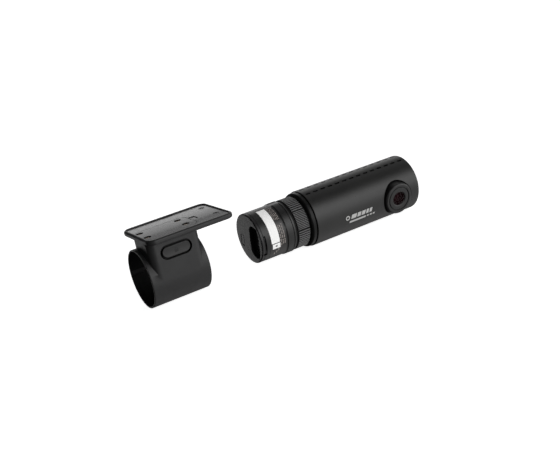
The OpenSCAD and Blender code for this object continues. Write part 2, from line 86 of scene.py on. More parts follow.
ON_AXIS = Matrix.Translation((0, 0, axis_z))
ON_GRIP = Matrix.Translation((end_x, 0, axis_z))
ON_CAMERA = ON_GRIP @ Matrix.Rotation(tilt, 4, "X")
ON_LENS = ON_CAMERA @ Matrix.Translation((lens_x, 0, 0)) @ Matrix.Rotation(math.pi / 2, 4, "X")
WORLD = Matrix.Identity(4)

plate_low, plate_high = box_mm("bracket_housing")
plate_l = 2 * plate_high.x
plate_w = plate_high.y - plate_low.y
rim_h = plate_high.z
sleeve_x0 = plate_low.x
sleeve_x1 = 6.6
sleeve_r = axis_z - plate_low.z
bore_r = sleeve_r - 1.1
body_r = (box_mm("body_tube")[1].z - box_mm("body_tube")[0].z) / 2
barrel_r = (box_mm("connector_cap")[1].z - box_mm("connector_cap")[0].z) / 2


# ---- Mesh building ----

def arc(centre, radius, start, end, steps=8):
    """Points of an arc in a plane, angles in degrees."""
    turn = [math.radians(start + (end - start) * i / steps) for i in range(steps + 1)]
    return [(centre[0] + radius * math.cos(t), centre[1] + radius * math.sin(t)) for t in turn]


def bridge(bm, ring_a, ring_b, wrap=True):
    count = len(ring_a)
    for i in range(count if wrap else count - 1):
        j = (i + 1) % count
        corners = list(dict.fromkeys([ring_a[i], ring_a[j], ring_b[j], ring_b[i]]))
        if len(corners) > 2:
            bm.faces.new(corners)


def loft(loops, closed=False):
    """A skin through loops of points. Both ends are capped, unless the last loop joins the first."""
    bm = bmesh.new()
    rings = [[bm.verts.new(p) for p in loop] for loop in loops]
    for ring_a, ring_b in zip(rings, rings[1:]):
        bridge(bm, ring_a, ring_b)
    if closed:
        bridge(bm, rings[-1], rings[0])
    else:
        bm.faces.new(rings[0])
        bm.faces.new(rings[-1])
    bmesh.ops.recalc_face_normals(bm, faces=bm.faces)
    return bm


def lathe(outline, segments=192):
    """A solid of revolution about X. The outline is a closed list of (radius, x)."""
    bm = bmesh.new()
    rings = []
    for radius, x in outline:
        if radius < 1e-6:
            rings.append([bm.verts.new((x, 0, 0))] * segments)
        else:
            turns = [2 * math.pi * i / segments for i in range(segments)]
            rings.append([bm.verts.new((x, radius * math.cos(t), radius * math.sin(t))) for t in turns])
    for ring_a, ring_b in zip(rings, rings[1:] + rings[:1]):
        bridge(bm, ring_a, ring_b)
    bmesh.ops.recalc_face_normals(bm, faces=bm.faces)
    return bm


def rounded(w, h, r, inset=0.0, steps=8):
    """Outline of a rectangle with round corners, drawn in by inset."""
    w, h, r = w - 2 * inset, h - 2 * inset, max(r - inset, 0.05)
    points = []
    for k, (sx, sy) in enumerate(((1, 1), (-1, 1), (-1, -1), (1, -1))):
        centre = (sx * (w / 2 - r), sy * (h / 2 - r))
        points += arc(centre, r, 90 * k, 90 * k + 90, steps)
    return points


def stack(w, h, r, levels, centre=(0, 0), steps=8):
    """Rounded rectangles stacked along Z. levels is a list of (z, inset)."""
    return loft([[(x + centre[0], y + centre[1], z) for x, y in rounded(w, h, r, inset, steps)]
                 for z, inset in levels])


def block(low, high):
    """A plain box, for cutting."""
    bm = bmesh.new()
    bmesh.ops.create_cube(bm, size=1)
    low, high = Vector(low), Vector(high)
    for v in bm.verts:
        v.co = (low + high) / 2 + Vector(c * s for c, s in zip(v.co, high - low))
    return bm


def piece(name, bm, place=WORLD):
    """An object from a mesh in millimetres, put in place in the row frame in metres."""
    mesh = bpy.data.meshes.new(name)
    bm.to_mesh(mesh)
    bm.free()
    mesh.transform(Matrix.Scale(MM, 4) @ place)
    obj = bpy.data.objects.new(name, mesh)
    scene.collection.objects.link(obj)
    return obj


def applied(obj):
    """The object with its modifiers worked into its mesh."""
    graph = bpy.context.evaluated_depsgraph_get()
    made = bpy.data.meshes.new_from_object(obj.evaluated_get(graph))
    old = obj.data
    obj.modifiers.clear()
    obj.data = made
    bpy.data.meshes.remove(old)
    return obj


def cut(obj, cutters, operation="DIFFERENCE"):
    """Cuts each cutter from the object, or joins it on."""
    for cutter in cutters:
        tool = obj.modifiers.new("cut", "BOOLEAN")
        tool.operation = operation
        tool.solver = "EXACT"
        tool.object = cutter
    applied(obj)
    for cutter in cutters:
        bpy.data.objects.remove(cutter)
    return obj


def merged(*meshes):
    """Several bmeshes as one."""
    whole = bmesh.new()
    for part in meshes:
        mesh = bpy.data.meshes.new("part")
        part.to_mesh(mesh)
        part.free()
        whole.from_mesh(mesh)
        bpy.data.meshes.remove(mesh)
    return whole


def finish_piece(obj, material, body, replaces=(), sharp=32):
    """Smooths, paints and mounts a piece on its body."""
    mesh = obj.data
    mesh.shade_smooth()
    mesh.set_sharp_from_angle(angle=math.radians(sharp))
    if not mesh.materials:
        mesh.materials.append(material)
    else:
        mesh.materials[0] = material
    normals = obj.modifiers.new("normals", "WEIGHTED_NORMAL")
    normals.keep_sharp = True
    normals.weight = 80
    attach(obj, body)
    if replaces:
        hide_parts(*replaces)
    return obj


def paint(obj, material, chosen):
    """Gives a second material to the faces that chosen(face) picks."""
    obj.data.materials.append(material)
    index = len(obj.data.materials) - 1
    for face in obj.data.polygons:
        if chosen(face):
            face.material_index = index


def from_axis(point):
    """Distance of a point from the tube's axis, in millimetres."""
    return math.hypot(point.y, point.z - axis_z * MM) / MM


# ---- Materials ----

def shader(name):
    """A new material with its node tree, its shader and its object coordinates."""
    material = bpy.data.materials.new(name)
    material.use_nodes = True
    tree = material.node_tree
    coords = tree.nodes.new("ShaderNodeTexCoord")
    return material, tree, tree.nodes["Principled BSDF"], coords.outputs["Object"]


def noise(tree, coords, size_mm, detail=3, roughness=0.55):
    texture = tree.nodes.new("ShaderNodeTexNoise")
    texture.inputs["Scale"].default_value = 1 / (size_mm * MM)
    texture.inputs["Detail"].default_value = detail
    texture.inputs["Roughness"].default_value = roughness
    tree.links.new(coords, texture.inputs["Vector"])
    return texture.outputs["Fac"]


def spread(tree, value, low, high, start=0.3, end=0.7):
    """A value spread from low to high."""
    ramp = tree.nodes.new("ShaderNodeMapRange")
    for name, number in (("From Min", start), ("From Max", end), ("To Min", low), ("To Max", high)):
        ramp.inputs[name].default_value = number
    tree.links.new(value, ramp.inputs["Value"])
    return ramp.outputs["Result"]


def mix(tree, factor, colour_a, colour_b):
    blend = tree.nodes.new("ShaderNodeMix")
    blend.data_type = "RGBA"
    tree.links.new(factor, blend.inputs["Factor"])
    for socket, colour in (("A", colour_a), ("B", colour_b)):
        target = [s for s in blend.inputs if s.name == socket and s.type == "RGBA"][0]
        if isinstance(colour, tuple):
            target.default_value = (*colour, 1)
        else:
            tree.links.new(colour, target)
    return [s for s in blend.outputs if s.type == "RGBA"][0]


def bump(tree, surface, *layers):
    """Bump from (height, depth in millimetres) layers, one over another."""
    under = None
    for height, depth_mm in layers:
        relief = tree.nodes.new("ShaderNodeBump")
        relief.inputs["Distance"].default_value = depth_mm * MM
        tree.links.new(height, relief.inputs["Height"])
        if under:
            tree.links.new(under, relief.inputs["Normal"])
        under = relief.outputs["Normal"]
    tree.links.new(under, surface.inputs["Normal"])


def compute(tree, operation, *terms):
    """Result of one operation; each term is a number or a socket."""
    step = tree.nodes.new("ShaderNodeMath")
    step.operation = operation
    for socket, term in zip(step.inputs, terms):
        if isinstance(term, (int, float)):
            socket.default_value = term
        else:
            tree.links.new(term, socket)
    return step.outputs["Value"]


def crown(tree, coords):
    """Height of a face that is slightly crowned across Y and falls off to the front, in metres."""
    split = tree.nodes.new("ShaderNodeSeparateXYZ")
    tree.links.new(coords, split.inputs["Vector"])
    y = split.outputs["Y"]
    past = compute(tree, "MINIMUM", compute(tree, "ADD", y, 0.006), 0)
    front = compute(tree, "MULTIPLY", compute(tree, "MULTIPLY", past, past), 2.5)
    fall = compute(tree, "ADD", compute(tree, "MULTIPLY", y, y), front)
    return compute(tree, "MULTIPLY", fall, -1)


def plastic(name, colour, rough, grain_mm=0.18, grain_depth=0.01, ior=1.46, crowned=0.0):
    """Moulded plastic: a fine spark-eroded grain, slow flow marks, and a little handling polish."""
    material, tree, surface, coords = shader(name)
    flow = noise(tree, coords, 9, 2)
    grain = noise(tree, coords, grain_mm, 4, 0.7)
    polish = noise(tree, coords, 2.4, 5, 0.65)
    darker = tuple(c * 0.86 for c in colour)
    lighter = tuple(c * 1.16 for c in colour)
    tree.links.new(mix(tree, spread(tree, flow, 0, 1), darker, lighter), surface.inputs["Base Color"])
    tree.links.new(spread(tree, polish, rough - 0.05, rough + 0.05), surface.inputs["Roughness"])
    surface.inputs["IOR"].default_value = ior
    layers = [(flow, 0.02), (grain, grain_depth)]
    if crowned:
        layers.insert(0, (crown(tree, coords), crowned / MM))
    bump(tree, surface, *layers)
    return material


def metal(name, colour, rough, brush_mm=0.4, stretch=(1, 1, 14)):
    """Metal with drawn marks along one axis and a thin uneven film."""
    material, tree, surface, coords = shader(name)
    scale = tree.nodes.new("ShaderNodeMapping")
    scale.inputs["Scale"].default_value = stretch
    tree.links.new(coords, scale.inputs["Vector"])
    marks = noise(tree, scale.outputs["Vector"], brush_mm, 4)
    film = noise(tree, coords, 3, 3)
    dull = tuple(c * 0.8 for c in colour)
    tree.links.new(mix(tree, spread(tree, film, 0, 1), dull, colour), surface.inputs["Base Color"])
    tree.links.new(spread(tree, marks, rough - 0.08, rough + 0.1), surface.inputs["Roughness"])
    surface.inputs["Metallic"].default_value = 1
    bump(tree, surface, (marks, 0.004))
    return material


def board_green(name):
    """Solder mask over copper tracks: paler straight tracks that show through, and small vias."""
    material, tree, surface, coords = shader(name)
    tracks = tree.nodes.new("ShaderNodeTexBrick")
    tracks.inputs["Scale"].default_value = 260
    tracks.inputs["Mortar Size"].default_value = 0.03
    tree.links.new(coords, tracks.inputs["Vector"])
    vias = tree.nodes.new("ShaderNodeTexVoronoi")
    vias.inputs["Scale"].default_value = 420
    tree.links.new(coords, vias.inputs["Vector"])
    masked = mix(tree, tracks.outputs["Fac"], (0.008, 0.06, 0.03), (0.016, 0.11, 0.05))
    dots = spread(tree, vias.outputs["Distance"], 1, 0, 0.08, 0.12)
    tree.links.new(mix(tree, dots, masked, (0.35, 0.3, 0.16)), surface.inputs["Base Color"])
    surface.inputs["Roughness"].default_value = 0.32
    bump(tree, surface, (tracks.outputs["Fac"], 0.02))
    return material


def glass(name, colour, alpha, rough, ior, tint):
    """Coated lens glass: tinted, slightly see-through, with a faint purple bloom."""
    material, tree, surface, coords = shader(name)
    bloom = noise(tree, coords, 4, 1)
    tree.links.new(mix(tree, spread(tree, bloom, 0, 1), colour, tuple(c * 0.7 for c in colour)),
                   surface.inputs["Base Color"])
    tree.links.new(spread(tree, noise(tree, coords, 0.8, 3), rough, rough + 0.03),
                   surface.inputs["Roughness"])
    surface.inputs["Alpha"].default_value = alpha
    surface.inputs["IOR"].default_value = ior
    surface.inputs["Specular Tint"].default_value = (*tint, 1)
    return material


def ink(name, colour, rough=0.5, painted_glow=0.0):
    """Printed ink: slightly uneven in tone, thin and matte. The last argument is emission that makes the ink
    glow: painted light, not a lamp.
    """
    material, tree, surface, coords = shader(name)
    worn = noise(tree, coords, 0.5, 4)
    tree.links.new(mix(tree, spread(tree, worn, 0, 1), tuple(c * 0.93 for c in colour), colour),
                   surface.inputs["Base Color"])
    tree.links.new(spread(tree, worn, rough - 0.05, rough + 0.08), surface.inputs["Roughness"])
    # Emission here is painted light: the ink glows by the given amount.
    surface.inputs["Emission Color"].default_value = (*colour, 1)
    surface.inputs["Emission Strength"].default_value = painted_glow
    bump(tree, surface, (worn, 0.003))
    return material


bracket_black = plastic("bracket_plastic", (0.014, 0.014, 0.0145), 0.46)
floor_black = plastic("bracket_floor", (0.016, 0.016, 0.017), 0.2, 0.5, 0.003, crowned=1.0)
cover_black = plastic("cover_plastic", (0.016, 0.016, 0.017), 0.22, 0.4, 0.004, crowned=1.0)
button_black = plastic("button_plastic", (0.013, 0.013, 0.013), 0.42, 0.2, 0.008)
body_black = plastic("body_paint", (0.011, 0.011, 0.0105), 0.32, 0.12, 0.005)
collar_black = plastic("collar_paint", (0.007, 0.007, 0.007), 0.28, 0.12, 0.004, 1.28)
ring_black = plastic("ring_plastic", (0.14, 0.14, 0.141), 0.5, 0.25, 0.006)
barrel_black = plastic("barrel_plastic", (0.011, 0.011, 0.011), 0.3, 0.2, 0.005)
cap_black = plastic("cap_plastic", (0.013, 0.012, 0.013), 0.28, 0.2, 0.004)
# deep_black is painted shade where it is painted on hollows, grooves, gaps and the card socket, and the own
# colour of black inner parts.
deep_black = plastic("deep_black", (0.003, 0.003, 0.003), 0.6, ior=1.3)
turret_black = plastic("turret_paint", (0.01, 0.01, 0.01), 0.34, 0.12, 0.006)
label_black = plastic("label_film", (0.012, 0.010, 0.010), 0.2, 0.8, 0.002, 1.5)
pad_grey = plastic("pocket_pad", (0.12, 0.118, 0.116), 0.3, 0.6, 0.004)
rubber_black = plastic("gasket_rubber", (0.015, 0.015, 0.015), 0.75, 0.3, 0.01)
chip_black = plastic("chip_epoxy", (0.018, 0.018, 0.02), 0.55, 0.1, 0.01)
card_black = plastic("card_plastic", (0.010, 0.010, 0.011), 0.35, 0.15, 0.004)
ceramic = plastic("antenna_ceramic", (0.6, 0.54, 0.42), 0.5, 0.2, 0.01)
ribbon = plastic("ribbon_film", (0.55, 0.36, 0.1), 0.3, 0.6, 0.01)
silicone = plastic("pad_silicone", (0.25, 0.33, 0.42), 0.7, 0.25, 0.02)
zinc = metal("zinc_steel", (0.5, 0.48, 0.45), 0.32)
screw_zinc = metal("screw_zinc", (0.34, 0.27, 0.2), 0.3)
spring_wire = metal("spring_wire", (0.6, 0.6, 0.62), 0.28, 0.2)
tin = metal("stamped_tin", (0.62, 0.63, 0.65), 0.3, 0.6, (14, 1, 1))
# Tin dimmed to a dark grey for the contacts deep in the well: painted shade over the tin's own colour.
shaded_contact_tin = metal("shaded_contact_tin", (0.3, 0.29, 0.27), 0.3, 0.3)
brass = metal("pin_brass", (0.75, 0.58, 0.3), 0.25)
green = board_green("solder_mask")
# The white strip's ink glows a little: painted light, not a lamp.
white_ink = ink("white_ink", (0.92, 0.92, 0.91), painted_glow=0.25)
sign_ink = ink("sign_ink", (0.6, 0.6, 0.59))
grey_ink = ink("grey_ink", (0.3, 0.27, 0.25))
dark_ink = ink("dark_ink", (0.004, 0.004, 0.004), 0.6)


# ---- Bracket ----

neck_x0, neck_x1, neck_back, neck_r = -27.2, 4.8, 6, 4.45
lower_z = -2.6
cover_box = (-25.6, 7.0, -15.6, 7.0)
button_x, button_z = -11.1, 15.4
button_w, button_h = 17.2, 6.2
button_rise, dish_depth = 0.35, 0.25
screw_places = [(x, y) for x in (-22.8, 1.4) for y in (-8.8, 3.2)]


def cover_outline_levels(levels):
    x0, x1, y0, y1 = cover_box
    return stack(x1 - x0, y1 - y0, 4.5, levels, ((x0 + x1) / 2, (y0 + y1) / 2))


def facing_lens(bm):
    """Turns a stack made in X and Z so that its Z runs along +Y."""
    bm.transform(Matrix.Rotation(-math.pi / 2, 4, "X"))
    return bm


def make_bracket():
    top_edge = [(z, inset) for inset, z in arc((1.15, rim_h - 1.15), 1.15, 180, 90, 7)]
    under_edge = [(z, inset) for inset, z in arc((1.1, lower_z + 1.1), 1.1, 270, 180, 6)]
    plate = piece("bracket_shell", stack(plate_l, plate_w, 5, under_edge + top_edge + [
        (rim_h, 1.25), (rim_h - 0.08, 1.42), (0.1, 1.62), (0, 1.7)], steps=14))
    edge = 0.3
    rims = (arc((sleeve_x1 - edge, sleeve_r - edge), edge, 0, 90, 4)
            + arc((sleeve_x0 + edge, sleeve_r - edge), edge, 90, 180, 4))
    sleeve = piece("sleeve", lathe(
        [(radius, x) for x, radius in rims]
        + [(bore_r + 0.2, sleeve_x0), (bore_r, sleeve_x0 + 0.2), (bore_r, sleeve_x1 - 0.2),
           (bore_r + 0.2, sleeve_x1)], 240), ON_AXIS)
    neck = piece("neck", stack(neck_x1 - neck_x0, neck_back + sleeve_r, neck_r,
                               [(0, 0), (lower_z - axis_z + 0.6, 0)],
                               ((neck_x0 + neck_x1) / 2, (neck_back - sleeve_r) / 2), 18), ON_AXIS)
    bore = piece("bore", lathe([(0, sleeve_x0 - 1), (bore_r, sleeve_x0 - 1),
                                (bore_r, sleeve_x1 + 1), (0, sleeve_x1 + 1)], 240), ON_AXIS)
    cut(neck, [bore])
    cut(plate, [neck, sleeve], "UNION")
    room = piece("room", block((-21.6, -sleeve_r + 1.2, 10.6), (-1.2, -15, 22.4)), ON_AXIS)
    cut(room, [piece("room", block((-21.6, -15.1, 10.6), (-2.4, -8.2, 22.4)), ON_AXIS),
               piece("room", block((-7.2, -8.3, 18), (-1, 4.2, 22.4)), ON_AXIS)], "UNION")
    cut(room, [piece("tunnel", lathe([(0, sleeve_x0), (sleeve_r, sleeve_x0), (sleeve_r, sleeve_x1),
                                      (0, sleeve_x1)], 240), ON_AXIS)])
    gap = 1.15
    opening = facing_lens(stack(button_w, button_h, button_h / 2, [
        (-1, -gap - 0.12), (0, -gap - 0.12), (0.1, -gap), (1.6, -gap)]))
    cutters = [
        piece("opening", opening, ON_AXIS @ Matrix.Translation((button_x, -sleeve_r, button_z))),
        piece("recess", cover_outline_levels([(-1.5, -0.14), (-0.2, -0.14), (0, -0.3), (1, -0.3)])),
        piece("well", block((-19, -14, lower_z - 0.1), (-1, 4, -1))),
        room,
        piece("pocket", stack(3.6, 6.5, 0.4, [(-0.9, 0.1), (-0.8, 0), (-0.12, 0), (0, -0.14), (1, -0.14)],
                              (9.2, -2.35))),
        piece("slot", stack(7.2, 1.6, 0.5, [(lower_z - 1, 0), (-0.12, 0), (0, -0.14), (1, -0.14)],
                            (0.8, 17.8))),
        piece("keyway", block((sleeve_x0 - 1, 10, -1.3), (sleeve_x1 + 1, 17.2, 1.3)), ON_AXIS),
    ]
    for y in (-9, 11):
        cutters.append(piece("mark", stack(3.8, 3.8, 1.9, [(-0.15, 0.1), (-0.05, 0), (1, 0)], (21, y))))
    for x, y in screw_places:
        cutters.append(piece("hole", stack(1.6, 1.6, 0.8, [(-3.4, 0), (0.5, 0)], (x, y))))
    cut(plate, cutters)
    finish_piece(plate, bracket_black, "bracket", ["bracket_housing"])
    paint(plate, floor_black, lambda face: face.normal.z > 0.99 and abs(face.center.z) < 0.02 * MM)
    # Painted shade: the sleeve's bore, the hollow round the lock button and the plate's slot are painted near
    # black.
    paint(plate, deep_black, in_mechanism)
    pad = stack(3.3, 6.2, 0.4, [(-0.9, 0), (-0.42, 0), (-0.34, 0.1)], (9.2, -2.35))
    finish_piece(piece("pocket_pad", pad), pad_grey, "bracket")


def in_mechanism(face):
    """Inner faces of the sleeve, of the hollow behind the lock button and of the plate's slot, which are
    painted near black as painted shade.
    """
    x, y, z = face.center / MM
    in_room = -22 < x < -0.9 and -sleeve_r + 0.12 < y < 4.3 and -14.6 < z < -1.4
    in_slot = -2.9 < x < 4.5 and 16.9 < y < 18.7 and z < 0.1
    return in_room or in_slot or (from_axis(face.center) < bore_r + 0.05 and z < -2.7)


def make_cover():
    cover = piece("cover_plate", cover_outline_levels(
        [(-1.5, 0), (-0.16, 0), (-0.05, 0.05), (0, 0.16)]))
    cutters = []
    for x, y in screw_places:
        cutters.append(piece("seat", stack(4.2, 4.2, 2.1, [(-1.1, 0), (-0.12, 0), (0, -0.14), (1, -0.14)],
                                           (x, y), 12)))
        cutters.append(piece("hole", stack(2.2, 2.2, 1.1, [(-2, 0), (0, 0)], (x, y))))
    cut(cover, cutters)
    finish_piece(cover, cover_black, "bracket", ["mechanism_cover"])


def screw(x, y, z, shank_r, shank_l, head_r, head_h, turn):
    """Pan head screw: domed head, cross recess, threaded shank."""
    head = [(0, -shank_l), (shank_r * 0.5, -shank_l)]
    pitch = 0.45
    for i in range(int(shank_l / pitch)):
        base = -shank_l + 0.1 + i * pitch
        head += [(shank_r * 0.78, base), (shank_r, base + pitch * 0.5)]
    head += [(shank_r * 0.78, -0.05), (shank_r * 0.8, 0), (head_r, 0), (head_r, head_h * 0.45)]
    head += [(head_r * math.cos(t), head_h * (0.45 + 0.55 * math.sin(t)))
             for t in (math.radians(a) for a in (20, 40, 60, 75))]
    head += [(0, head_h)]
    bm = lathe(head, 48)
    bm.transform(Matrix.Translation((x, y, z)) @ Matrix.Rotation(-math.pi / 2, 4, "Y"))
    obj = piece("screw", bm)
    cutters = []
    for quarter in (0, 90):
        slot = stack(head_r * 1.25, 0.42, 0.1, [(head_h * 0.4, 0.08), (head_h + 1, -0.05)], steps=3)
        slot.transform(Matrix.Translation((x, y, z)) @ Matrix.Rotation(math.radians(turn + quarter), 4, "Z"))
        cutters.append(piece("cross", slot))
    return cut(obj, cutters)


def joined(objects, name):
    """Several objects as one piece."""
    bm = bmesh.new()
    for obj in objects:
        bm.from_mesh(obj.data)
        bpy.data.objects.remove(obj)
    mesh = bpy.data.meshes.new(name)
    bm.to_mesh(mesh)
    bm.free()
    whole = bpy.data.objects.new(name, mesh)
    scene.collection.objects.link(whole)
    return whole


def make_screws():
    turns = (12, 57, 80, 35)
    heads = [screw(x, y, -1.1, 0.8, 2.2, 1.8, 0.7, turn) for (x, y), turn in zip(screw_places, turns)]
    finish_piece(joined(heads, "cover_screw_set"), screw_zinc, "bracket", ["cover_screws"])


# ---- Lock button ----

def capsule_ring(inset, y, depth):
    """Outline of the button at a height, sunk by the finger dish."""
    points = []
    for x, z in rounded(button_w, button_h, button_h / 2 - 0.001, inset, 10):
        sag = depth * (1 - (z / (button_h / 2)) ** 2)
        points.append((x, y + sag, z))
    return points


def make_lock():
    face_y = -sleeve_r - button_rise
    place = ON_AXIS @ Matrix.Translation((button_x, 0, button_z))
    edge = 0.45
    loops = [capsule_ring(0, face_y + 2.6, 0)]
    for i in range(6):
        t = math.pi / 2 * i / 5
        inset, y = edge - edge * math.cos(t), face_y + edge - edge * math.sin(t)
        loops.append(capsule_ring(inset, y, dish_depth * i / 5))
    loops += [capsule_ring(inset, face_y, dish_depth) for inset in (0.9, 1.5, 2.1, 2.7, 3.0)]
    cap = loft(loops)
    flange = facing_lens(stack(button_w, button_h + 2.4, 3, [
        (-sleeve_r + 1.3, 0), (-sleeve_r + 2.3, 0)], (0, -0.3)))
    obj = piece("lock_key", cap, place)
    tail = [piece("flange", flange, place)]
    high = box_mm("lock_button")[1]
    tail.append(piece("tail", block((-8, -15.7, 18.4), (high.x, -6.4, 19.8)), ON_AXIS))
    wedge = [(-6.6, 18.4), (-2.8, 18.4), (-2.8, 18.7), (-3.9, 19.8), (-6.6, 19.8)]
    tail.append(piece("wedge", loft([[(x, y, z) for y, z in wedge] for x in (-5.9, high.x)]), ON_AXIS))
    cut(obj, tail, "UNION")
    finish_piece(obj, button_black, "lock_button", ["lock_button"])
    # Painted shade: the button's sides, flange and tail, more than 0.6 mm behind its face, are painted near
    # black so the gap round it reads dark.
    paint(obj, deep_black, lambda face: face.center.y > (face_y + 0.6) * MM)
    make_padlock(place, face_y)


def make_padlock(place, face_y):
    """Raised padlock sign on the lock button: a rounded body and a round shackle."""
    y = face_y + dish_depth
    body = facing_lens(stack(2.3, 1.7, 0.3, [(y + 0.2, 0), (y - 0.04, 0), (y - 0.08, 0.06)], (0, 0.55), 4))
    width, radius, rise = 0.32, 0.72, 0.35
    outer = arc((0, rise), radius + width / 2, 180, 0, 16)
    inner = arc((0, rise), radius - width / 2, 0, 180, 16)
    outline = [(-radius - width / 2, -0.2)] + outer + [(radius + width / 2, -0.2)]
    outline += [(radius - width / 2, -0.2)] + inner + [(-radius + width / 2, -0.2)]
    shackle = loft([[(x, depth, z) for x, z in outline] for depth in (y + 0.2, y - 0.07)])
    finish_piece(piece("lock_sign", merged(body, shackle), place), dark_ink, "lock_button")


# ---- Springs ----

def coil(name, place, radius, wire, turns, height, material, body, node):
    """A wire wound into closed ends, as one smooth tube."""
    steps, sides = 36, 12
    count = turns * steps
    loops = []
    for i in range(count + 1):
        t = 2 * math.pi * i / steps
        share = i / count
        rise = wire + (height - 2 * wire) * (share - math.sin(2 * math.pi * share) / (2 * math.pi) * 0.35)
        out = Vector((math.cos(t), math.sin(t), 0))
        loops.append([out * (radius + wire * math.cos(a)) + Vector((0, 0, rise + wire * math.sin(a)))
                      for a in (2 * math.pi * k / sides for k in range(sides))])
    obj = piece(name, loft(loops), place)
    return finish_piece(obj, material, body, [node], 60)


def make_springs():
    lock_low, lock_high = box_mm("button_spring")
    back = Matrix.Rotation(-math.pi / 2, 4, "X")
    middle = (lock_low + lock_high) / 2
    place = Matrix.Translation((middle.x, lock_low.y, middle.z)) @ back
    spring = coil("button_coil", place, 0.95, 0.17, 5, lock_high.y - lock_low.y, spring_wire,
                  "bracket", "button_spring")
    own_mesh(spring)
    pawl_low, pawl_high = box_mm("pawl_spring")
    place = Matrix.Translation(((pawl_low.x + pawl_high.x) / 2, (pawl_low.y + pawl_high.y) / 2, pawl_low.z))
    spring = coil("pawl_coil", place, 0.75, 0.13, 3, pawl_high.z - pawl_low.z, spring_wire,
                  "bracket", "pawl_spring")
    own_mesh(spring)


# ---- Grip ring ----

def rib_angles():
    """Start and pitch of each rib, in degrees: a group of fine ribs, then coarse ones round the rest."""
    fine_start, fine_pitch, fine_count = -4, 3.6, 12
    coarse_start, coarse_pitch, coarse_end = 40.5, 5.5, 352
    coarse_count = int((coarse_end - coarse_start) / coarse_pitch) + 1
    return ([(fine_start + fine_pitch * i, fine_pitch) for i in range(fine_count)]
            + [(coarse_start + coarse_pitch * i, coarse_pitch) for i in range(coarse_count)])


def make_grip_ring():
    """Ring with raised round-topped ribs that run out at both ends."""
    x0, x1 = 25.65, 34.55
    rib_r, root_r, bore = 16.1, 15.45, 14.95
    ends = [(x0, 0), (x0 + 0.15, 0), (x0 + 0.45, 0.75), (x0 + 0.75, 1),
            (x1 - 0.75, 1), (x1 - 0.45, 0.75), (x1 - 0.15, 0), (x1, 0)]
    profile = [(0.02, 0), (0.16, 0), (0.22, 0.75), (0.3, 1), (0.5, 1), (0.7, 1), (0.78, 0.75), (0.84, 0)]
    loops = []
    for x, share in ends:
        loop = []
        for start, pitch in rib_angles():
            for place, height in profile:
                a = math.radians(start + pitch * place)
                r = root_r + (rib_r - root_r) * height * share - (0.12 if x in (x0, x1) else 0)
                loop.append((x, -r * math.cos(a), r * math.sin(a)))
        loops.append(loop)
    bore_loops = []
    for x in (x1, x0):
        bore_loops.append([(x, -bore * math.cos(math.radians(start + pitch * place)),
                            bore * math.sin(math.radians(start + pitch * place)))
                           for start, pitch in rib_angles() for place, height in profile])
    ring = piece("grip_ring_ribbed", loft(loops + bore_loops, closed=True), ON_GRIP)
    key = piece("key", stack(8.0, 2.2, 0.5, [(14.98, 0), (16.75, 0), (16.95, 0.2)]),
                ON_GRIP @ Matrix.Translation(((x0 + x1) / 2, 0, 0)) @ Matrix.Rotation(-math.pi / 2, 4, "X"))
    cut(ring, [key], "UNION")
    finish_piece(ring, ring_black, "grip", ["grip_ring"])
    # Painted shade: the grooves and lower flanks between the ribs are painted near black.
    paint(ring, deep_black, lambda face: root_r - 0.25 < from_axis(face.center) < root_r + 0.3)


# ---- Camera shells ----

def soft_edge(radius, x, edge, outward, steps=6):
    """Round outer edge of a lathe outline, ending at x. outward is +1 at the high end, -1 at the low end."""
    turn = [math.pi / 2 * i / steps for i in range(steps + 1)]
    points = [(radius - edge + edge * math.cos(t), x - outward * (edge - edge * math.sin(t))) for t in turn]
    return points if outward > 0 else points[::-1]


def well_levels(levels):
    """Stack of the oblong well's outline, in Y and Z, along X: straight inner side, bulged outer side."""
    a0, a1, h, corner, bulge = 1.4, 12.7, 20.6, 4.9, 21
    loops = []
    for x, inset in levels:
        points = []
        for y, z in rounded(a1 - a0, h, corner, inset, 12):
            y -= (a0 + a1) / 2
            limit = bulge - a1 - math.sqrt(max((bulge - inset) ** 2 - z * z, 0))
            points.append((x, max(y, limit), z))
        loops.append(points)
    return loft(loops)


def end_outline(w, h, r, levels, centre):
    """Stack of rounded rectangles facing the connector end. centre is (y, z)."""
    return loft([[(x, centre[0] + y, centre[1] + z) for y, z in rounded(w, h, r, inset, 5)]
                 for x, inset in levels])


key_centre = (8.6, -4.1)


def make_cap():
    cap = piece("end_cap", lathe(
        [(0, 0)] + soft_edge(barrel_r, 0, 0.7, -1)
        + [(barrel_r, 1.75), (barrel_r - 0.15, 1.95), (barrel_r - 0.15, 2), (0, 2)]), ON_CAMERA)
    notch = []
    for r in (14.6, 17):
        notch.append([(x, -r * math.cos(a), r * math.sin(a))
                      for x, a in ((1.0, math.radians(-24)), (3, math.radians(-24)),
                                   (3, math.radians(-18)), (1.0, math.radians(-18)))])
    cut(cap, [
        piece("well", well_levels([(-1, -0.3), (0, -0.3), (0.12, -0.12), (0.3, 0), (3, 0)]), ON_CAMERA),
        piece("key", end_outline(3.8, 7.4, 0.8, [(-1, -0.15), (0, -0.15), (0.15, 0), (3, 0)], key_centre),
              ON_CAMERA),
        piece("key_back", end_outline(5.2, 8.8, 1.2, [(1.1, 0), (3, 0)], key_centre), ON_CAMERA),
        piece("notch", loft(notch), ON_CAMERA),
    ])
    finish_piece(cap, cap_black, "camera", ["connector_cap"])
    # Painted shade: the side walls of the well, of the key recess and of the notch are painted near black.
    paint(cap, deep_black, lambda face: abs(face.normal.x) < 0.5 and face.center.x > (end_x + 0.3) * MM
          and from_axis(face.center) < barrel_r - 0.5)


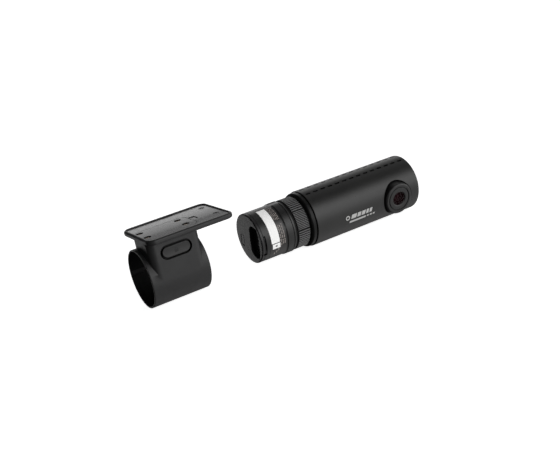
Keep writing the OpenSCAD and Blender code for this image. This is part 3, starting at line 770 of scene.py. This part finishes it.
def make_key():
    cap = end_outline(3.1, 6.7, 0.55, [(1.25, 0), (0.25, 0), (0.12, 0.05), (0.08, 0.15)], key_centre)
    back = end_outline(4.7, 8.3, 1, [(1.2, 0), (1.9, 0)], key_centre)
    stem = end_outline(2, 2, 0.99, [(1.85, 0), (2.7, 0)], key_centre)
    obj = piece("function_key", merged(cap, back, stem), ON_CAMERA)
    finish_piece(obj, cap_black, "function_button", ["function_button"])


ridge_x0, ridge_x1, ridge_r = 18.2, 24.2, 16.35


def make_barrel():
    inner, rear, journal = 14.4, 13.4, 14.9
    outline = [(rear, 23), (inner, 23), (inner, 2), (barrel_r - 0.15, 2), (barrel_r, 2.2), (barrel_r, 5.55)]
    outline += [(barrel_r, 17.2), (ridge_r - 0.3, ridge_x0 - 0.2), (ridge_r - 0.1, ridge_x0 + 0.05),
                (ridge_r, ridge_x0 + 0.4)]
    outline += [(ridge_r, 22.45), (ridge_r - 0.08, 22.55), (ridge_r - 0.38, 22.6), (ridge_r - 0.38, 22.85),
                (ridge_r - 0.08, 22.9), (ridge_r, 23.0)]
    outline += [(ridge_r, 23.85), (ridge_r - 0.1, 24.1), (ridge_r - 0.3, ridge_x1)]
    outline += [(15.25, ridge_x1), (15.25, 25.5), (journal, 25.55), (journal, 28.9), (journal - 0.8, 28.9),
                (journal - 0.8, 31.1), (journal, 31.1), (journal, 46), (rear, 46)]
    barrel = piece("barrel_shell", lathe(outline), ON_CAMERA)
    slit = []
    for r in (13.9, 20):
        angles = [math.radians(-24 + 48 * i / 16) for i in range(17)]
        slit.append([(1.0, -r * math.cos(a), r * math.sin(a)) for a in angles]
                    + [(3.4, -r * math.cos(a), r * math.sin(a)) for a in angles[::-1]])
    cut(barrel, [piece("slit", loft(slit), ON_CAMERA),
                 piece("notch", block((17, -2.9, barrel_r), (ridge_x1 + 0.01, 2.9, 20)), ON_GRIP)])
    finish_piece(barrel, barrel_black, "camera", ["label_barrel"])
    # Painted shade: the barrel's inner faces and the inner part of the slit's walls are painted near black.
    paint(barrel, deep_black, lambda face: from_axis(face.center) < 15.6)


def make_collar():
    inner, step, lip = 14.92, 15.4, 17.5
    outline = [(inner, 34.65), (step, 34.65), (step, 35.2), (16.1, 35.2)]
    outline += [(16.1 + 1.4 * math.sin(t), 36.6 - 1.4 * math.cos(t)) for t in
                (math.pi / 2 * i / 10 for i in range(1, 11))]
    outline += [(lip, 38.1), (lip - 0.15, 38.3), (16.37, 38.3), (16.37, 44), (inner, 44)]
    collar = piece("collar", lathe(outline), ON_CAMERA)
    finish_piece(collar, collar_black, "camera", ["collar_ring"])


def make_body():
    inner, edge = 16.4, 1.7
    outline = [(inner, 38.8), (body_r - 0.4, 38.8), (body_r - 0.12, 38.92), (body_r, 39.2)]
    outline += [(body_r, cam_l - edge)] + [
        (body_r - edge + edge * math.cos(t), cam_l - edge + edge * math.sin(t))
        for t in (math.pi / 2 * i / 12 for i in range(1, 13))]
    outline += [(inner - 0.95, cam_l), (inner - 1.1, cam_l - 0.15),
                (inner - 1.1, cam_l - 1.4), (inner, cam_l - 1.4)]
    tube = piece("body_shell", lathe(outline, 288), ON_CAMERA)
    cutters = []
    for side in (-1, 1):
        for i in range(14):
            slot = stack(3.4, 1.4, 0.69, [(15.4, 0), (17.85, 0), (17.95, -0.05), (18.3, -0.2)], steps=6)
            turn = Matrix.Rotation(side * math.radians(12.2), 4, "X")
            slot.transform(turn @ Matrix.Translation((42.3 + 5.47 * i, 0, 0)))
            cutters.append(slot)
    opening = lathe([(0, 5), (11.13, 5), (11.13, 25), (0, 25)], 128)
    opening.transform(Matrix.Rotation(-math.pi / 2, 4, "Y"))
    cut(tube, [piece("vents", merged(*cutters), ON_CAMERA), piece("opening", opening, ON_LENS)])
    finish_piece(tube, body_black, "camera", ["body_tube"])
    # Painted shade: the tube's inner faces and the inner part of the vent walls are painted near black, so
    # the vents read dark.
    paint(tube, deep_black, lambda face: from_axis(face.center) < 16.9 and face.center.x < (end_x + 117) * MM)


def make_far_cap():
    inner = 16.37
    x = cam_l
    outline = [(0, x - 2.9), (inner, x - 2.9), (inner, x - 1.45), (15.25, x - 1.45), (15.25, x - 0.4),
               (15.1, x - 0.2), (14.9, x - 0.15), (13.2, x - 0.15), (13.1, x - 0.25), (12.9, x - 0.25),
               (12.8, x - 0.15), (0, x - 0.15)]
    cap = piece("far_cap", lathe(outline), ON_CAMERA)
    finish_piece(cap, body_black, "camera", ["far_end_cap"])


# ---- Label and print ----

label_r = barrel_r + 0.07


def curved_box(bm, x0, x1, a0, a1, r0, r1, slant=0.0):
    """A thin block wrapped on a cylinder, angles in degrees from the lens side toward up."""
    steps = max(2, int(abs(a1 - a0) / 2.5) + 1)
    rings = []
    for i in range(steps + 1):
        a = math.radians(a0 + (a1 - a0) * i / steps)
        lean = slant * i / steps
        rings.append([bm.verts.new((x + lean, -r * math.cos(a), r * math.sin(a)))
                      for x, r in ((x0, r0), (x1, r0), (x1, r1), (x0, r1))])
    for ring_a, ring_b in zip(rings, rings[1:]):
        bridge(bm, ring_a, ring_b)
    bm.faces.new(rings[0])
    bm.faces.new(rings[-1])


def wrapped(boxes, r0, r1):
    bm = bmesh.new()
    for x0, x1, a0, a1, *slant in boxes:
        curved_box(bm, x0, x1, a0, a1, r0, r1, *slant)
    bmesh.ops.recalc_face_normals(bm, faces=bm.faces)
    return bm


def make_label():
    film = wrapped([(5.6, 17, -60, 92)], barrel_r - 0.01, label_r)
    sheet = piece("label_film_sheet", film, ON_CAMERA)
    finish_piece(sheet, label_black, "camera", ["rating_label"])
    print_r = label_r + 0.02
    strip = wrapped([(6.6, 12.3, 0, 89)], label_r - 0.01, print_r)
    box_mark = wrapped([(7.2, 12.5, -14.5, -2)], label_r - 0.01, print_r)
    glyph = wrapped([(9.2, 10.6, -9.8, -6.4)], print_r - 0.005, print_r + 0.01)
    finish_piece(piece("label_glyph", glyph, ON_CAMERA), dark_ink, "camera")
    finish_piece(piece("label_strip", merged(strip, box_mark), ON_CAMERA), white_ink, "camera")
    draw = random.Random(7)
    dashes = []
    for group, rows in (((46, 89), (12.9, 13.9, 14.9, 15.9)), ((-12, 38), (13.0, 14.3, 15.6))):
        for row in rows:
            a = group[1] - draw.uniform(0, 3)
            while a > group[0] + 3:
                length = draw.choice((1.6, 2.6, 4.2, 6.5))
                dashes.append((row, row + 0.62, max(a - length, group[0]), a))
                a -= length + draw.choice((1.0, 1.5, 2.4))
    for i in range(3):
        inner = -30 + 4.5 * i
        dashes.append((8.2 + 1.4 * i, 9.0 + 1.4 * i, inner - 2, inner + 5))
    finish_piece(piece("label_rows", wrapped(dashes, label_r - 0.01, print_r), ON_CAMERA), grey_ink, "camera")


def make_body_mark():
    """A plain sign: a ring, five slanted bars and a thin line with three dots under them."""
    r0, r1 = body_r - 0.01, body_r + 0.02
    boxes = []
    x = 63.4
    for width in (4.6, 3.4, 3.4, 2.6, 2.6):
        boxes.append((x, x + width - 0.75, -6.9, 1.9, 0.9))
        x += width
    boxes += [(62.2, 74.6, -15.6, -11.2, 0.4)]
    boxes += [(75.6 + 2.3 * i, 77.1 + 2.3 * i, -14.6, -11.2, 0.3) for i in range(3)]
    bm = wrapped(boxes, r0, r1)
    ring_x, ring_a, outer, inner, steps = 61.0, -2.5, 1.55, 0.85, 24
    loops = []
    for r, size in ((r0, inner), (r0, outer), (r1, outer), (r1, inner)):
        loop = []
        for i in range(steps):
            t = 2 * math.pi * i / steps
            a = math.radians(ring_a) + size * math.sin(t) / body_r
            loop.append((ring_x + size * math.cos(t), -r * math.cos(a), r * math.sin(a)))
        loops.append(loop)
    finish_piece(piece("body_sign", merged(bm, loft(loops, closed=True)), ON_CAMERA), sign_ink, "camera")


def make_cap_marks():
    """Two small printed signs beside the function key: a bar and a wedge."""
    bar = end_outline(3.4, 0.5, 0.15, [(0.1, 0), (-0.012, 0)], (4.2, -8.2))
    wedge = [(6.3, -5.2), (3.4, -6.9), (3.8, -5.6)]
    mark = loft([[(x, y, z) for y, z in wedge] for x in (0.1, -0.012)])
    obj = piece("cap_signs", merged(bar, mark), ON_GRIP)
    finish_piece(obj, grey_ink, "camera")


# ---- Sockets ----

def make_contacts():
    """A short row of spring contacts in the middle of the well."""
    parts = [end_outline(1.5, 0.6, 0.12, [(4.65, 0), (1.9, 0), (1.75, 0.08)], (-9.2, z))
             for z in (-1.6, 0.2, 2.6)]
    # The contacts use the dimmed tin, painted shade for their place deep in the well.
    finish_piece(piece("port_contacts", merged(*parts), ON_CAMERA), shaded_contact_tin, "camera")


# ---- Lens ----

turret_h = 19.6
turret_r, groove_r, window_r = 10.3, 7.55, 4.5


def lens_lathe(outline, segments=160):
    """A solid of revolution about the lens axis. The outline is a list of (radius, height)."""
    bm = lathe(outline, segments)
    bm.transform(Matrix.Rotation(-math.pi / 2, 4, "Y"))
    return bm


def make_turret():
    edge, groove_w = 1.3, 0.4
    outline = [(groove_r, 9.2), (12.2, 9.2), (12.2, 10.4), (turret_r, 10.4)]
    outline += [(turret_r - edge + edge * math.cos(t), turret_h - edge + edge * math.sin(t))
                for t in (math.pi / 2 * i / 10 for i in range(11))]
    outline += [(groove_r + groove_w + 0.12, turret_h), (groove_r + groove_w, turret_h - 0.12),
                (groove_r + groove_w, turret_h - 0.8), (groove_r, turret_h - 0.8)]
    finish_piece(piece("turret_shell", lens_lathe(outline), ON_LENS), turret_black, "camera",
                 ["lens_turret"])
    outline = [(window_r + 0.02, 17.2), (groove_r - 0.04, 17.2), (groove_r - 0.04, turret_h - 0.35)]
    outline += [(groove_r - 0.34 + 0.3 * math.cos(t), turret_h - 0.35 + 0.3 * math.sin(t))
                for t in (math.pi / 2 * i / 5 for i in range(1, 6))]
    outline += [(window_r + 0.75, turret_h - 0.05), (window_r + 0.45, turret_h - 0.12),
                (window_r + 0.02, turret_h - 0.5)]
    finish_piece(piece("bezel_ring", lens_lathe(outline), ON_LENS), turret_black, "camera",
                 ["lens_bezel"])


def dome(radius, low, high, sag, rings=14):
    """Outline of a round window: flat back, domed front."""
    curve = (radius ** 2 + sag ** 2) / (2 * sag)
    points = [(0, low), (radius, low)]
    for i in range(rings + 1):
        r = radius * (1 - i / rings)
        points.append((r, high - curve + math.sqrt(curve ** 2 - r ** 2)))
    return points


def make_glass():
    window = piece("window_glass", lens_lathe(dome(window_r, 17.9, turret_h - 0.15, 0.35), 96), ON_LENS)
    clear = glass("lens_glass", (0.012, 0.004, 0.005), 0.45, 0.04, 1.2, (1, 0.8, 0.85))
    finish_piece(window, clear, "camera", ["lens_window"])
    sizes = ((16.4, 4.25, 3.2, 1.3), (11.6, 3.35, 2.2, 1.0), (6.2, 3.35, 2.2, 0.6))
    elements = merged(*[lens_lathe(dome(r, z - thick + 0.4, z + 0.4, sag), 96)
                        for z, r, thick, sag in sizes])
    coated = glass("coated_glass", (0.05, 0.004, 0.012), 0.95, 0.07, 1.5, (1, 0.2, 0.4))
    stacked = piece("element_stack", elements, ON_LENS)
    finish_piece(stacked, coated, "camera", ["lens_elements"])


# ---- Memory card ----

def make_card():
    t, w, l, a = 0.9, 11.0, 15.0, 14.6
    x = 2.35
    outline = [(-a, -w / 2 + 0.5), (-a + 0.5, -w / 2), (-a + l - 0.5, -w / 2), (-a + l, -w / 2 + 0.5),
               (-a + l, w / 2 - 1.6), (-a + l - 0.5, w / 2 - 1.1), (-a + 7.6, w / 2 - 1.1), (-a + 7.1, w / 2),
               (-a + 0.5, w / 2), (-a, w / 2 - 0.5)]
    centre_y = -a + l / 2
    loops = []
    for level, shrink in ((x, 0.12), (x + 0.12, 0), (x + t - 0.12, 0), (x + t, 0.12)):
        loops.append([(level, y + (centre_y - y) * shrink / (l / 2), z * (1 - shrink / (w / 2)))
                      for y, z in outline])
    obj = piece("card_body", loft(loops), ON_CAMERA)
    finish_piece(obj, card_black, "memory_card", ["memory_card"])


make_bracket()
make_cover()
make_screws()
make_lock()
make_springs()
make_grip_ring()
make_cap()
make_key()
make_barrel()
make_collar()
make_body()
make_far_cap()
make_label()
make_body_mark()
make_cap_marks()
make_contacts()
make_turret()
make_glass()
make_card()


# ---- CAD nodes that stay: finer edges and their own materials ----

def dress(node, material, edge_mm=0.12):
    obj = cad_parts[node]
    weld = obj.modifiers.new("weld", "WELD")
    weld.merge_threshold = 1e-6
    if edge_mm:
        soft = obj.modifiers.new("edges", "BEVEL")
        soft.width = edge_mm * MM
        soft.segments = 2
        soft.limit_method = "ANGLE"
        soft.angle_limit = math.radians(50)
    obj.data.materials.clear()
    obj.data.materials.append(material)


# The card socket's metal shell gets deep_black: painted shade for the dark well in front of it.
for node, material, edge in (
        ("latch_pawl", zinc, 0.1), ("click_spring", spring_wire, 0), ("inner_chassis", deep_black, 0),
        ("dust_gasket", rubber_black, 0.1), ("lens_barrel", deep_black, 0.1),
        ("lens_holder", deep_black, 0.15), ("image_sensor", chip_black, 0.1),
        ("sensor_board", green, 0.08), ("main_board", green, 0.08),
        ("board_screws", zinc, 0), ("processor", chip_black, 0.12), ("thermal_pad", silicone, 0.15),
        ("heat_spreader", tin, 0.1), ("memory_chips", chip_black, 0.12), ("gps_antenna", ceramic, 0.15),
        ("wireless_module", tin, 0.15), ("microphone", tin, 0.1), ("speaker", deep_black, 0.2),
        ("backup_capacitors", deep_black, 0.3), ("flat_cable", ribbon, 0.05),
        ("connector_board", chip_black, 0.08), ("card_socket", deep_black, 0.08),
        ("power_jack", deep_black, 0.1), ("power_pin", brass, 0.1),
        ("video_jack", deep_black, 0.1), ("tact_switch", tin, 0.1)):
    dress(node, material, edge)


# ---- Studio ----

def make_floor():
    """Pale round table top that sweeps up into a wall all the way round."""
    rest_z = min(cad_low.z, plate_low.z * MM) - 0.0002
    flat_r, bend, wall = 2.2, 0.8, 1.2
    outline = [(0.0, 0.0), (0.4, 0.0), (flat_r, 0.0)]
    outline += [(flat_r + bend * math.sin(t), bend - bend * math.cos(t))
                for t in (math.pi / 2 * i / 12 for i in range(1, 13))]
    outline.append((flat_r + bend, bend + wall))
    bm = bmesh.new()
    segments = 96
    rings = []
    for r, z in outline:
        if r == 0:
            rings.append([bm.verts.new((0, 0, rest_z))] * segments)
        else:
            rings.append([bm.verts.new((r * math.cos(t), r * math.sin(t), rest_z + z))
                          for t in (2 * math.pi * i / segments for i in range(segments))])
    for ring_a, ring_b in zip(rings, rings[1:]):
        bridge(bm, ring_a, ring_b)
    mesh = bpy.data.meshes.new("studio_floor")
    bm.to_mesh(mesh)
    bm.free()
    mesh.shade_smooth()
    floor = bpy.data.objects.new("studio_floor", mesh)
    scene.collection.objects.link(floor)
    material, _, surface, _ = shader("studio_paper")
    surface.inputs["Base Color"].default_value = (0.85, 0.85, 0.85, 1)
    surface.inputs["Roughness"].default_value = 0.9
    surface.inputs["Emission Color"].default_value = (1, 1, 1, 1)
    surface.inputs["Emission Strength"].default_value = 0.9
    mesh.materials.append(material)
    floor.visible_diffuse = False
    floor.visible_glossy = False
    floor.visible_transmission = False
    floor.visible_shadow = False


def area_light(name, place, target, size, power):
    data = bpy.data.lights.new(name, "AREA")
    data.shape = "RECTANGLE"
    data.size, data.size_y = size
    data.energy = power
    obj = bpy.data.objects.new(name, data)
    obj.location = place
    aim = Vector(target) - Vector(place)
    obj.rotation_euler = aim.to_track_quat("-Z", "Y").to_euler()
    obj.visible_camera = False
    scene.collection.objects.link(obj)


# Brightness of the studio round the tube's axis: (degrees from the front, upward; brightness)
STUDIO = ((-180, 0.05), (-160, 0.08), (-130, 0.2), (-100, 0.55), (-60, 0.78), (-30, 0.92),
          (-8, 1.52), (8, 2.15), (25, 2.35), (40, 1.6), (56, 0.55), (70, 0.2), (88, 0.3),
          (104, 0.45), (118, 0.14), (127, 0.35), (140, 0.75), (152, 1.0), (159, 0.25),
          (163, 0.5), (167, 1.4), (180, 0.4))
# A black flag cuts the boxes off toward -X: from and to along X, and the light that gets past
FLAG_EDGE = (0.02, 0.24, 0.1, 1)
# A soft card low behind the bracket: its direction, and its glow by the cosine away from it
CARD_DIRECTION = Vector((-0.24, 0.934, -0.266)).normalized()
CARD_GLOW = (math.cos(math.radians(12)), math.cos(math.radians(4.5)), 0, 1.2)


def eased(tree, value, levels):
    """A value eased between two levels: from and to, and the result at either end."""
    ramp = tree.nodes.new("ShaderNodeMapRange")
    ramp.interpolation_type = "SMOOTHSTEP"
    for name, level in zip(("From Min", "From Max", "To Min", "To Max"), levels):
        ramp.inputs[name].default_value = level
    tree.links.new(value, ramp.inputs["Value"])
    return ramp.outputs["Result"]


def make_lights():
    """Long soft boxes along the tube, drawn as bands on the sky, and one small box for the glass."""
    middle = (cad_low + cad_high) / 2
    area_light("front_box", middle + Vector((-0.05, -0.8, 0.12)), middle, (0.25, 0.12), 0.6)
    world = bpy.data.worlds.new("studio")
    world.use_nodes = True
    tree = world.node_tree
    coords = tree.nodes.new("ShaderNodeTexCoord")
    split = tree.nodes.new("ShaderNodeSeparateXYZ")
    tree.links.new(coords.outputs["Generated"], split.inputs["Vector"])
    front = compute(tree, "MULTIPLY", split.outputs["Y"], -1)
    turn = compute(tree, "ARCTAN2", split.outputs["Z"], front)
    share = tree.nodes.new("ShaderNodeMapRange")
    share.inputs["From Min"].default_value = -math.pi
    share.inputs["From Max"].default_value = math.pi
    tree.links.new(turn, share.inputs["Value"])
    curve = tree.nodes.new("ShaderNodeFloatCurve")
    tree.links.new(share.outputs["Result"], curve.inputs["Value"])
    brightest = max(level for angle, level in STUDIO)
    points = curve.mapping.curves[0].points
    for i, (angle, level) in enumerate(STUDIO):
        place = ((angle + 180) / 360, level / brightest)
        if i in (0, len(STUDIO) - 1):
            points[0 if i == 0 else len(points) - 1].location = place
        else:
            points.new(*place)
    curve.mapping.update()
    past_flag = eased(tree, split.outputs["X"], FLAG_EDGE)
    boxes = compute(tree, "MULTIPLY", compute(tree, "MULTIPLY", curve.outputs["Value"], brightest), past_flag)
    card = tree.nodes.new("ShaderNodeVectorMath")
    card.operation = "DOT_PRODUCT"
    card.inputs[1].default_value = CARD_DIRECTION
    tree.links.new(coords.outputs["Generated"], card.inputs[0])
    total = compute(tree, "ADD", boxes, eased(tree, card.outputs["Value"], CARD_GLOW))
    background = tree.nodes["Background"]
    background.inputs["Color"].default_value = (1, 1, 1, 1)
    tree.links.new(total, background.inputs["Strength"])
    scene.world = world


def make_camera():
    """Aimed at the target from an azimuth and elevation, then rolled about its own axis."""
    azimuth, elevation, roll = (math.radians(a) for a in (-26.87, 16.44, -12.43))
    target = Vector((66.33, 3.07, -24.7)) * MM
    distance = 0.56994
    back = Vector((math.sin(azimuth) * math.cos(elevation), -math.cos(azimuth) * math.cos(elevation),
                   math.sin(elevation)))
    right = Vector((math.cos(azimuth), math.sin(azimuth), 0))
    up = back.cross(right)
    side = right * math.cos(roll) + up * math.sin(roll)
    top = up * math.cos(roll) - right * math.sin(roll)
    data = bpy.data.cameras.new("camera")
    data.lens, data.sensor_width = 58.95, 36
    data.clip_start, data.clip_end = 0.01, 20
    camera = bpy.data.objects.new("camera", data)
    turned = Matrix((side, top, back)).transposed().to_4x4()
    camera.matrix_world = Matrix.Translation(target + back * distance) @ turned
    scene.collection.objects.link(camera)
    scene.camera = camera


make_floor()
make_lights()
make_camera()
scene.view_settings.view_transform = "Standard"
